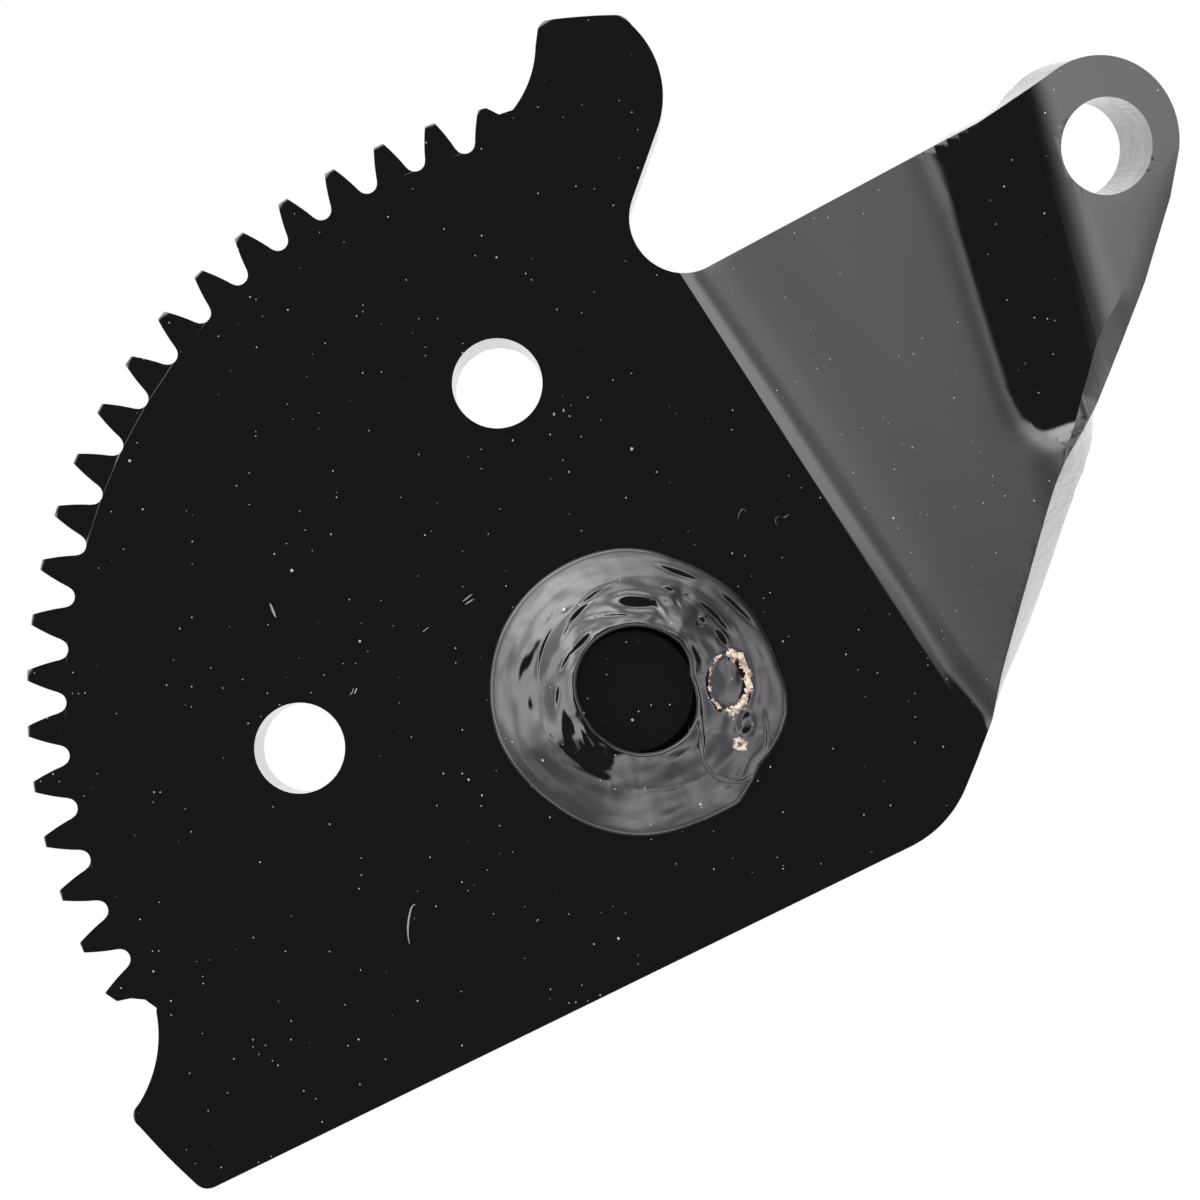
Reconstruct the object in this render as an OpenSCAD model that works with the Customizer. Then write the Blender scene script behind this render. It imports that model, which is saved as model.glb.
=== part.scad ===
// Sector gear with a cranked lever arm, welded to a round pivot shaft.
// Millimetres. Z is the axis of the teeth and the shaft, and Z = 0 is the plate's back face.
// X is right and Y is up as the toothed plate is seen from its front face.

/* [Teeth] */
// Teeth on the full circle this sector is cut from
full_circle_teeth = 68; // [66:1:70]
// Tooth module, 25.4 divided by a diametral pitch of 12
tooth_module = 2.1167; // [2.10:0.005:2.13]
// Pressure angle of the flanks
pressure_angle = 20; // [19:0.5:21]
// Thinning of each tooth at the pitch circle, for running clearance
tooth_thinning = 0.39; // [0.2:0.05:0.6]
// Depth of the tooth spaces below the pitch circle
root_depth = 2.717; // [2.6:0.01:2.8]
// Radius of the round bottom of the spaces
root_round = 1.26; // [1.2:0.01:1.3]
// Angle of the middle of the lowest tooth
first_tooth_angle = 210.27; // [210.2:0.01:210.35]

/* [Plate] */
// Thickness of the plate
plate_thickness = 9.525; // [9:0.025:10]
// Radius of the circle that the two plate holes lie on
hole_circle = 41.275; // [40.5:0.025:42]
// Diameter of the three bolt holes
hole_diameter = 11.1125; // [10:0.0125:12]
// Angle of the upper plate hole
upper_hole_angle = 113.7; // [112:0.1:115]
// Angle of the lower plate hole
lower_hole_angle = 189.7; // [188:0.1:191]

/* [Arm] */
// Radius of the recess between the lobe and the arm
recess_radius = 6.86; // [6.8:0.02:6.92]
// Angle of the first bend, toward the viewer
rise_angle = 40.55; // [38:0.25:43]
// Front radius of the first bend, which is the inside of it
rise_radius = 8; // [7:0.25:9]
// Angle of the second bend, back again
return_angle = 30.54; // [28:0.25:33]
// Front radius of the second bend, which is the outside of it
return_radius = 10.8; // [10.6:0.1:12]
// Angle of the third bend, which tips the pad
tip_angle = 17.31; // [14:0.25:19]
// Front radius of the third bend
tip_radius = 13.7; // [12:0.25:16]
// Radius of the rounded end of the arm
eye_radius = 9.75; // [9.5:0.05:10]

/* [Pivot shaft] */
// Diameter of the shaft below the plate
shaft_diameter = 15.875; // [15:0.125:16]
// Diameter of the shaft's head, which goes through the plate and is welded in
head_diameter = 16.5; // [16.5:0.25:17]
// Length of the shaft below the plate's back face
shaft_length = 60; // [40:1:90]
// Chamfer at the free end of the shaft
shaft_chamfer = 1.2; // [0.5:0.1:2]
// Width of the retaining-ring groove near the free end
groove_width = 1.3; // [1:0.1:2]
// Depth of the retaining-ring groove
groove_depth = 0.55; // [0.3:0.05:0.9]
// Distance of the groove from the free end
groove_inset = 4; // [3:0.5:8]

/* [Weld] */
// Outer radius of the weld on the plate
weld_radius = 18; // [17:0.25:19]
// Radius of the crest of the weld
weld_crest_radius = 12.4; // [11.5:0.1:13]
// Height of the crest above the plate
weld_height = 4.2; // [3.5:0.1:4.8]
// Height of the head's end above the plate
shaft_proud = 1.9; // [1.5:0.1:2.4]
// Width of the head's end that the weld laps over
weld_lap = 0.9; // [0.7:0.1:1.1]

/* [Hidden] */
$fn = 64;
pitch_radius = tooth_module * full_circle_teeth / 2;
base_radius = pitch_radius * cos(pressure_angle);
tip_circle = pitch_radius + tooth_module;
root_circle = pitch_radius - root_depth;
tooth_step = 360 / full_circle_teeth;
flank_start = root_circle + root_round * 0.74;
shaft_radius = shaft_diameter / 2;
head_radius = head_diameter / 2;
hole_radius = hole_diameter / 2;

// recess between lobe and arm, and the line the bottom edge follows
recess_centre = [6.48, 58.23];
bottom_angle = 25.97;
bottom_point = [-9.91, -40.33];

// ends of the line where the arm starts to rise
fold_low = [42.18, -8.25];
fold_high = [3.54, 52.03];

// a bend is [x, y, direction, angle, front radius, +1 up or -1 down], in the unfolded sheet
rise_bend = [fold_low.x, fold_low.y, atan2(fold_high.y - fold_low.y, fold_high.x - fold_low.x) - 90,
             rise_angle, rise_radius, 1];
return_bend = [45.965, 38.464, 14.33, return_angle, return_radius, -1];
crown_start = return_radius * return_angle * PI / 180;
crown_end = crown_start + 6.2;
tip_bend = [return_bend[0] + crown_end * cos(14.33), return_bend[1] + crown_end * sin(14.33),
            14.33, tip_angle, tip_radius, -1];

// rounded end of the arm and the hole in it, in the unfolded sheet
eye_centre = [60.56, 66.09];
eye_hole = [61.395, 65.555];

// Which piece to show

function polar(r, a) = [r * cos(a), r * sin(a)];

function arc(c, r, a0, a1, n) = [for (i = [0 : n]) c + polar(r, a0 + (a1 - a0) * i / n)];

// involute function in degrees, and half the angle a tooth fills at radius r
function involute(a) = tan(a) * 180 / PI - a;

function half_tooth(r) =
  (PI * tooth_module / 2 - tooth_thinning) / pitch_radius * 90 / PI
  + involute(pressure_angle) - involute(acos(base_radius / r));

function flank_radius(i, n) = flank_start + (tip_circle - flank_start) * i / n;

function rising_flank(a) = [for (i = [0 : 5]) polar(flank_radius(i, 5), a + half_tooth(flank_radius(i, 5)))];

function falling_flank(a) =
  [for (i = [5 : -1 : 0]) polar(flank_radius(i, 5), a - half_tooth(flank_radius(i, 5)))];

function root(a) =
  arc(polar(root_circle + root_round, a - tooth_step / 2), root_round,
      a - tooth_step / 2 + 105, a - tooth_step / 2 + 255, 6);

function tooth_angle(i) = first_tooth_angle - i * tooth_step;

function line_cross(p, a, q, b) =
  p + polar(1, a) * ((q.x - p.x) * sin(b) - (q.y - p.y) * cos(b)) / sin(b - a);

// arc of radius r in the corner b of the path a, b, c
function fillet(a, b, c, r, n) =
  let (u = (a - b) / norm(a - b), v = (c - b) / norm(c - b),
       half = acos(u * v) / 2, m = (u + v) / norm(u + v),
       k = b + m * r / sin(half),
       p = b + u * r / tan(half) - k, q = b + v * r / tan(half) - k,
       a0 = atan2(p.y, p.x), turn = (atan2(q.y, q.x) - a0 + 540) % 360 - 180)
  arc(k, r, a0, a0 + turn, n);

// twenty whole teeth, clockwise from the lower left, then the cut-off start of one more
function toothed_edge() = concat(
  [[-58.0, -38.58], [-59.42, -37.57], [-61.13, -37.41], [-62.83, -37.76]],
  falling_flank(tooth_angle(0)), root(tooth_angle(0)),
  [for (i = [1 : 19]) each concat(rising_flank(tooth_angle(i)), falling_flank(tooth_angle(i)),
                                  root(tooth_angle(i)))],
  rising_flank(tooth_angle(20)),
  [[-18.01, 71.84], [-16.42, 71.04]]);

function lobe_edge() = concat(
  arc([-25.32, 79.80], 13.39, -37.7, -1.3, 8),
  fillet([-11.9, 79.5], [-11.55, 82.65], [-7, 83.16], 1.5, 4),
  arc([0, 0], 83.45, 96.4, 92.6, 3),
  fillet([-4, 83.35], [-1.2, 83.42], [0.6, 81.5], 2, 4),
  arc([-8.34, 73.27], 12.14, 46, -16.4, 10));

bottom_left = [-52.1, -60.88];
bottom_right = line_cross(bottom_point, bottom_angle, fold_low, 67.45);

function lower_edge() = concat(
  fillet(fold_low, bottom_right, bottom_point, 13.9, 8),
  fillet(bottom_point, bottom_left, [-53.4, -59.55], 2, 4),
  arc([0, 0], 80, 228.0, 221.8, 4),
  fillet([-59.6, -53.3], [-61.1, -51.95], [-60.2, -49.9], 1.6, 4),
  arc([-73.3, -42.0], 15.55, -31, 11, 8));

// the plate, up to the line where the arm starts to rise
module body_outline() {
  polygon(concat(toothed_edge(), lobe_edge(), arc(recess_centre, recess_radius, 160.3, 237, 7),
                 [fold_high, fold_low], lower_edge()));
}

// the arm laid flat: its lower right side and its upper left side, from the fold line on
function lower_side() =
  [fold_low, [43.95, -3.5], [44.55, -0.9], [45.6, 2.8], [53.0, 24.3], [54.15, 27.5], [55.6, 30.6],
   [57.35, 33.35], [59.0, 36.2], [61.1, 40.8], [65.4, 49.9], [68.95, 59.3]];

function upper_side() = concat([fold_high], arc(recess_centre, recess_radius, 252, 295.9, 6),
                               [[42.6, 67.4], [46.3, 69.05], eye_centre + polar(eye_radius, 125)]);

// distance of a point of the sheet past a bend line, and its place along that line
function past(b, p) = ([p.x, p.y] - [b[0], b[1]]) * polar(1, b[2]);

function along(b, p) = ([p.x, p.y] - [b[0], b[1]]) * polar(1, b[2] + 90);

function bend_run(b) = b[4] * b[3] * PI / 180;

// where a side of the arm crosses the line that runs parallel to a bend, s past it
function crossing(b, side, s) =
  [b[0], b[1]] + s * polar(1, b[2]) + lookup(s, [for (p = side) [past(b, p), along(b, p)]]) * polar(1, b[2] + 90);

function across(b, s) = [crossing(b, lower_side(), s), crossing(b, upper_side(), s)];

// where a point of the sheet comes to lie once the bend is made
function bent(b, p) =
  let (s = past(b, p), a = min(b[3], max(0, s / bend_run(b) * b[3])),
       rest = s - bend_run(b) * a / b[3], r = b[4] - b[5] * (p.z - plate_thickness),
       x = r * sin(a) + rest * cos(a))
  concat([b[0], b[1]] + x * polar(1, b[2]) + along(b, p) * polar(1, b[2] + 90),
         [plate_thickness + b[5] * (b[4] - r * cos(a) + rest * sin(a))]);

function formed(p) = bent(rise_bend, bent(return_bend, bent(tip_bend, p)));

// lines across the sheet, each from the lower side to the upper side
function stations() = concat(
  [[fold_low, fold_high]],
  [for (i = [1 : 10]) across(rise_bend, bend_run(rise_bend) * i / 10)],
  [across(rise_bend, 8.6)],
  [for (i = [0 : 8]) across(return_bend, bend_run(return_bend) * i / 8)],
  [for (s = [7.4, 7.9, 9.8]) across(return_bend, s)],
  [for (i = [0 : 5]) across(tip_bend, bend_run(tip_bend) * i / 5)],
  [across(return_bend, 17.5), [[65.4, 49.9], eye(111)], [[68.95, 59.3], eye(102)]],
  [for (i = [0 : 4]) [eye(12 * i - 8), eye(94 - 11 * i)]]);

function eye(a) = eye_centre + polar(eye_radius, a);

// the sheet's section on one line across it: up the lower side and down the upper side
function section(line) =
  [for (k = [0 : 7])
    formed(concat(line[k < 4 ? 0 : 1], [plate_thickness * (k < 4 ? k : 7 - k) / 3]))];

// the bent arm, from section to section
module formed_arm() {
  lines = stations();
  last = 8 * (len(lines) - 1);
  faces = [for (k = [0 : 2]) each
             [[7 - k, 6 - k, k], [6 - k, k + 1, k],
              [last + k, last + k + 1, last + 6 - k], [last + k, last + 6 - k, last + 7 - k]],
           for (i = [0 : 8 : last - 8], k = [0 : 7])
             let (n = (k + 1) % 8)
             each [[i + k, i + n, i + n + 8], [i + k, i + n + 8, i + k + 8]]];
  polyhedron([for (l = lines) each section(l)], faces);
}

// the hole in the pad, square to the pad's face
module arm_hole() {
  front = formed([eye_hole.x, eye_hole.y, plate_thickness]);
  back = formed([eye_hole.x, eye_hole.y, 0]);
  d = front - back;
  translate(back - d * 0.2)
    rotate([0, acos(d.z / norm(d)), atan2(d.y, d.x)])
      cylinder(r = hole_radius, h = norm(d) * 1.4);
}

module arm() {
  difference() {
    formed_arm();
    arm_hole();
  }
}

module body() {
  difference() {
    linear_extrude(plate_thickness)
      body_outline();
    translate([0, 0, -1])
      cylinder(r = head_radius, h = plate_thickness + 2);
    for (a = [upper_hole_angle, lower_hole_angle])
      translate(concat(polar(hole_circle, a), [-1]))
        cylinder(r = hole_radius, h = plate_thickness + 2);
  }
}

module sector_plate() {
  color("dimgray") {
    body();
    arm();
  }
}

// the shaft, turned in one: a head through the plate, a thinner journal, a groove and a chamfer
module pivot_shaft() {
  top = plate_thickness + shaft_proud;
  groove = groove_inset - shaft_length;
  color("gray")
    rotate_extrude()
      polygon([[0, -shaft_length], [shaft_radius - shaft_chamfer, -shaft_length],
               [shaft_radius, shaft_chamfer - shaft_length],
               [shaft_radius, groove], [shaft_radius - groove_depth, groove],
               [shaft_radius - groove_depth, groove + groove_width],
               [shaft_radius, groove + groove_width],
               [shaft_radius, 0], [head_radius, 0],
               [head_radius, top - weld_lap], [head_radius - weld_lap, top], [0, top]]);
}

function weld_profile() =
  let (z0 = plate_thickness, run = weld_radius - weld_crest_radius,
       inner = head_radius - weld_lap, fall = weld_crest_radius - inner)
  concat(
    [[head_radius, z0], [weld_radius, z0]],
    [for (a = [12 : 13 : 90]) [weld_crest_radius + run * cos(a), z0 + weld_height * pow(sin(a), 0.85)]],
    [for (i = [1 : 5])
      [weld_crest_radius - fall * i / 5,
       z0 + shaft_proud + (weld_height - shaft_proud) * (1 + cos(36 * i)) / 2]],
    [[head_radius, z0 + shaft_proud - weld_lap]]);

// ring of weld metal
module weld_ring() {
  rotate_extrude()
    polygon(weld_profile());
}

// round end of the bead, lapped over its own start
module weld_end() {
  difference() {
    translate(concat(polar(13.6, -35), [plate_thickness - 0.9]))
      sphere(r = 5.9);
    translate([0, 0, plate_thickness - 20])
      cylinder(r = 40, h = 20);
    translate([0, 0, plate_thickness - 1])
      cylinder(r = head_radius, h = 2.2);
  }
}

module weld_bead() {
  color("darkgray") {
    weld_ring();
    weld_end();
  }
}

sector_plate();
pivot_shaft();
weld_bead();
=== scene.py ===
import logging
import math
from dataclasses import dataclass, field
from enum import Enum
from functools import cached_property
from typing import Callable, Iterable, Sequence, Union

import bmesh
import bpy
from mathutils import Matrix, Vector, noise


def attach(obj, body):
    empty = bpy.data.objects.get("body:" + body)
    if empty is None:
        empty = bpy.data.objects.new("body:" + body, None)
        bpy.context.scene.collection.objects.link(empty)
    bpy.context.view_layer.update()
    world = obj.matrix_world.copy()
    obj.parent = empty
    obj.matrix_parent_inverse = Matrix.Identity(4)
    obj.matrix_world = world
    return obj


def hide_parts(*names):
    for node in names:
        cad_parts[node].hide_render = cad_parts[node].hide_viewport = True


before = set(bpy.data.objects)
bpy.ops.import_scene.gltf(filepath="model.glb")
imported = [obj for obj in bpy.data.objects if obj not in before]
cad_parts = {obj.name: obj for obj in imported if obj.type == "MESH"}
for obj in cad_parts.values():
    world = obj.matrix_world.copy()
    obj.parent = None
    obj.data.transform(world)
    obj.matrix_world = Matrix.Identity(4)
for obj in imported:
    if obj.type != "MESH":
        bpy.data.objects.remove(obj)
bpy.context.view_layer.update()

log = logging.getLogger("sector_gear")

Socket = bpy.types.NodeSocket
Value = Union[Socket, float]
Pairs = tuple[tuple[float, float], ...]

MM = 0.001
PLATE_THICKNESS = 9.525
HEAD_RADIUS = 16.5 / 2
HOLE_RADIUS = 11.1125 / 2


def polar(radius: float, angle: float) -> Vector:
    """Point at a radius and an angle in degrees, in the plane."""
    return Vector((radius * math.cos(math.radians(angle)), radius * math.sin(math.radians(angle))))


def bearing(p: Vector) -> float:
    """Angle of a point seen from the origin, in degrees from -180 to 180."""
    return math.degrees(math.atan2(p.y, p.x))


def ladder(first: float, step: float, count: int) -> list[float]:
    """Places at equal steps."""
    return [first + step * i for i in range(count)]


def arc(centre: Sequence[float], radius: float, start: float, end: float, steps: int) -> list[Vector]:
    """Points along an arc.

    Args:
        centre: middle of the arc.
        radius: radius of the arc.
        start: angle of its first point, in degrees.
        end: angle of its last point, in degrees.
        steps: number of equal steps.

    Returns:
        The points, both ends included.
    """
    middle = Vector(centre)
    return [middle + polar(radius, start + (end - start) * i / steps) for i in range(steps + 1)]


def fillet(before: Vector, corner: Vector, after: Vector, radius: float, steps: int) -> list[Vector]:
    """Arc that rounds the corner of a path.

    Args:
        before: a point on the way to the corner.
        corner: the sharp corner.
        after: a point on the way on from it.
        radius: radius of the rounding.
        steps: number of equal steps.

    Returns:
        The points of the arc, in the order of the path.
    """
    u = (before - corner).normalized()
    v = (after - corner).normalized()
    half = math.acos(u.dot(v)) / 2
    middle = corner + (u + v).normalized() * radius / math.sin(half)
    first = corner + u * radius / math.tan(half) - middle
    last = corner + v * radius / math.tan(half) - middle
    start = bearing(first)
    turn = (bearing(last) - start + 540) % 360 - 180
    return arc(middle, radius, start, start + turn, steps)


def line_cross(p: Vector, angle_p: float, q: Vector, angle_q: float) -> Vector:
    """Point where two lines cross, each given by a point and an angle in degrees."""
    a, b = math.radians(angle_p), math.radians(angle_q)
    reach = ((q.x - p.x) * math.sin(b) - (q.y - p.y) * math.cos(b)) / math.sin(b - a)
    return p + polar(reach, angle_p)


def smoothstep(low: float, high: float, value: float) -> float:
    """Smooth rise from 0 at low to 1 at high."""
    t = min(1.0, max(0.0, (value - low) / (high - low)))
    return t * t * (3 - 2 * t)


def lerp_table(table: Sequence[tuple[float, float]], value: float) -> float:
    """Value between the rows of a rising table, held at both ends."""
    if value <= table[0][0]:
        return table[0][1]
    for (low, first), (high, second) in zip(table, table[1:]):
        if value < high:
            return first + (second - first) * (value - low) / (high - low)
    return table[-1][1]
def linked(name: str, bm: bmesh.types.BMesh) -> bpy.types.Object:
    """Turn a bmesh into an object of the scene, and free it."""
    mesh = bpy.data.meshes.new(name)
    bm.to_mesh(mesh)
    bm.free()
    piece = bpy.data.objects.new(name, mesh)
    bpy.context.collection.objects.link(piece)
    return piece


def plain_material(
    name: str, colour: Sequence[float], roughness: float,
) -> tuple[bpy.types.Material, bpy.types.ShaderNodeBsdfPrincipled]:
    """A material of one colour.

    Args:
        name: the material's name.
        colour: red, green and blue.
        roughness: from 0, a mirror, to 1.

    Returns:
        The material and its shader.
    """
    material = bpy.data.materials.new(name)
    material.use_nodes = True
    shader = material.node_tree.nodes["Principled BSDF"]
    shader.inputs["Base Color"].default_value = (*colour, 1)
    shader.inputs["Roughness"].default_value = roughness
    return material, shader

class Turn(Enum):
    """Which way a bend turns the sheet, seen from the front face."""

    UP = 1
    DOWN = -1


@dataclass
class Bend:
    """A bend across the flat sheet, with the length along the front face kept.

    The bend lies past the line through `start`, square to `direction`. Where `creases` are given,
    each is a place along the line with the angles that the sheet has there at some distances past
    the line, and the sheet runs smoothly from one to the next between `first` and `reach`. From
    `tied_from` on along the line, the creased sheet ends where the round bend does. Without
    creases the bend is round.
    """

    start: tuple[float, float]
    direction: float
    angle: float
    front_radius: float
    turn: Turn
    creases: tuple[tuple[float, Pairs], ...] = ()
    first: float = 0.0
    reach: float = 14.0
    tied_from: float = -1000.0
    tie_fade: float = 6.0
    stride: float = 0.1
    spacing: float = 0.25
    profiles: dict[int, list[tuple[float, float, float]]] = field(default_factory=dict)

    @property
    def run(self) -> float:
        """Length of the round bend along the front face."""
        return self.front_radius * math.radians(self.angle)

    def past(self, p: Vector) -> float:
        """How far a point of the sheet lies past the start of the bend."""
        return (p.xy - Vector(self.start)).dot(polar(1, self.direction))

    def along(self, p: Vector) -> float:
        """Place of a point along the bend's line."""
        return (p.xy - Vector(self.start)).dot(polar(1, self.direction + 90))

    def round_face(self, past: float) -> tuple[float, float, float]:
        """Place and angle of the front face of the round bend, at a distance past its line."""
        angle = min(math.radians(self.angle), max(0.0, past / self.front_radius))
        rest = past - self.front_radius * angle
        x = self.front_radius * math.sin(angle) + rest * math.cos(angle)
        z = self.front_radius * (1 - math.cos(angle)) + rest * math.sin(angle)
        return x, z, angle

    def crease_angle(self, past: float, along: float) -> float:
        """Angle of the sheet in degrees where the bend has creases."""
        places = [place for place, _ in self.creases]
        angles = [lerp_table(table, past) for _, table in self.creases]
        return lerp_table(tuple(zip(places, angles)), along)

    def profile(self, number: int) -> list[tuple[float, float, float]]:
        """The creased bend's front face at one place along its line, from `first` to `reach`.

        It is led to the end of the round bend, fully from `tied_from` on and not at all where the
        place lies `tie_fade` or more before it.
        """
        if number not in self.profiles:
            along = number * self.spacing
            steps = round((self.reach - self.first) / self.stride)
            path = [(self.first, 0.0)]
            for i in range(steps):
                angle = math.radians(self.crease_angle(self.first + (i + 0.5) * self.stride, along))
                x, z = path[-1]
                path.append((x + self.stride * math.cos(angle), z + self.stride * math.sin(angle)))
            end_x, end_z, _ = self.round_face(self.reach)
            tied = smoothstep(self.tied_from - self.tie_fade, self.tied_from, along)
            off_x, off_z = (end_x - path[-1][0]) * tied, (end_z - path[-1][1]) * tied
            shares = [smoothstep(0, steps, i) for i in range(steps + 1)]
            path = [(x + off_x * share, z + off_z * share) for (x, z), share in zip(path, shares)]
            angles = [math.atan2(b[1] - a[1], b[0] - a[0]) for a, b in zip(path, path[1:])]
            self.profiles[number] = [(x, z, angle) for (x, z), angle in zip(path, angles + angles[-1:])]
        return self.profiles[number]

    def creased_face(self, past: float, along: float) -> tuple[float, float, float]:
        """Place and angle of the front face of a creased bend."""
        number = math.floor(along / self.spacing)
        share = along / self.spacing - number
        step = (past - self.first) / self.stride
        i = min(int(step), len(self.profile(number)) - 2)
        rest = step - i
        found = [
            [a + (b - a) * rest for a, b in zip(self.profile(n)[i], self.profile(n)[i + 1])]
            for n in (number, number + 1)
        ]
        x, z, angle = (a + (b - a) * share for a, b in zip(*found))
        return x, z, angle

    def shape(self, p: Vector) -> Vector:
        """Where a point of the sheet comes to lie once the bend is made.

        Args:
            p: the point, with z = thickness on the front face.

        Returns:
            The point in space.
        """
        up = self.turn.value
        past = self.past(p)
        along = self.along(p)
        if self.creases and self.first < past < self.reach:
            x, z, angle = self.creased_face(past, along)
        else:
            x, z, angle = self.round_face(past)
        depth = p.z - PLATE_THICKNESS
        x -= up * depth * math.sin(angle)
        height = PLATE_THICKNESS + up * z + depth * math.cos(angle)
        flat = Vector(self.start) + polar(x, self.direction) + polar(along, self.direction + 90)
        return flat.to_3d() + Vector((0, 0, height))


@dataclass(frozen=True)
class Teeth:
    """Involute teeth of the sector.

    A flank starts above the root circle, by the share `flank_foot` of the root's rounding. The round
    root runs between the angles of `root_arc`, counted from the middle of its space.
    """

    full_circle: int = 68
    module: float = 2.1167
    pressure_angle: float = 20.0
    thinning: float = 0.39
    root_depth: float = 2.717
    root_round: float = 1.26
    root_arc: tuple[float, float] = (105.0, 255.0)
    flank_foot: float = 0.74
    first_angle: float = 210.27
    whole: int = 20
    flank_steps: int = 7
    root_steps: int = 10

    @property
    def pitch_radius(self) -> float:
        """Radius of the pitch circle."""
        return self.module * self.full_circle / 2

    @property
    def base_radius(self) -> float:
        """Radius of the circle that the involute unwinds from."""
        return self.pitch_radius * math.cos(math.radians(self.pressure_angle))

    @property
    def tip_radius(self) -> float:
        """Radius of the tooth tips."""
        return self.pitch_radius + self.module

    @property
    def root_radius(self) -> float:
        """Radius of the circle that the spaces reach down to."""
        return self.pitch_radius - self.root_depth

    @property
    def step(self) -> float:
        """Angle from one tooth to the next."""
        return 360 / self.full_circle

    def half_angle(self, radius: float) -> float:
        """Half the angle that a tooth fills at a radius, in degrees."""

        def involute(angle: float) -> float:
            return math.tan(angle) - angle

        pitch = (math.pi * self.module / 2 - self.thinning) / (2 * self.pitch_radius)
        rolled = involute(math.radians(self.pressure_angle)) - involute(math.acos(self.base_radius / radius))
        return math.degrees(pitch + rolled)

    def flank(self, angle: float, side: int) -> list[Vector]:
        """One flank of the tooth at an angle; side 1 rises, side -1 falls."""
        start = self.root_radius + self.root_round * self.flank_foot
        steps = self.flank_steps
        radii = [start + (self.tip_radius - start) * i / steps for i in range(steps + 1)]
        points = [polar(r, angle + side * self.half_angle(r)) for r in radii]
        return points if side > 0 else points[::-1]

    def root(self, angle: float) -> list[Vector]:
        """Round bottom of the space that follows the tooth at an angle, clockwise."""
        middle = angle - self.step / 2
        centre = polar(self.root_radius + self.root_round, middle)
        start, end = (middle + turn for turn in self.root_arc)
        return arc(centre, self.root_round, start, end, self.root_steps)

    def edge(self) -> list[Vector]:
        """All teeth, clockwise, from the lower left to the top."""
        angles = [self.first_angle - i * self.step for i in range(self.whole + 1)]
        points = self.flank(angles[0], -1) + self.root(angles[0])
        for angle in angles[1:-1]:
            points += self.flank(angle, 1) + self.flank(angle, -1) + self.root(angle)
        return points + self.flank(angles[-1], 1)


@dataclass
class Part:
    """A sub-assembly that rides on the root body."""

    name: str
    record_slot: str

    def place(
        self, bm: bmesh.types.BMesh, materials: Iterable[bpy.types.Material], nodes: Sequence[str],
    ) -> bpy.types.Object:
        """Turn a bmesh in millimetres into the finished object.

        Args:
            bm: the mesh, which is freed.
            materials: the finishes, in the order of the faces' material numbers.
            nodes: CAD nodes that the object stands for.

        Returns:
            The linked object, at the origin.
        """
        bmesh.ops.scale(bm, vec=(MM, MM, MM), verts=bm.verts)
        piece = linked(self.name, bm)
        mesh = piece.data
        for polygon in mesh.polygons:
            polygon.use_smooth = True
        for material in materials:
            mesh.materials.append(material)
        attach(piece, "root")
        if nodes:
            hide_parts(*nodes)
        log.info("%s: %d faces", self.name, len(mesh.polygons))
        return piece


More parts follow.
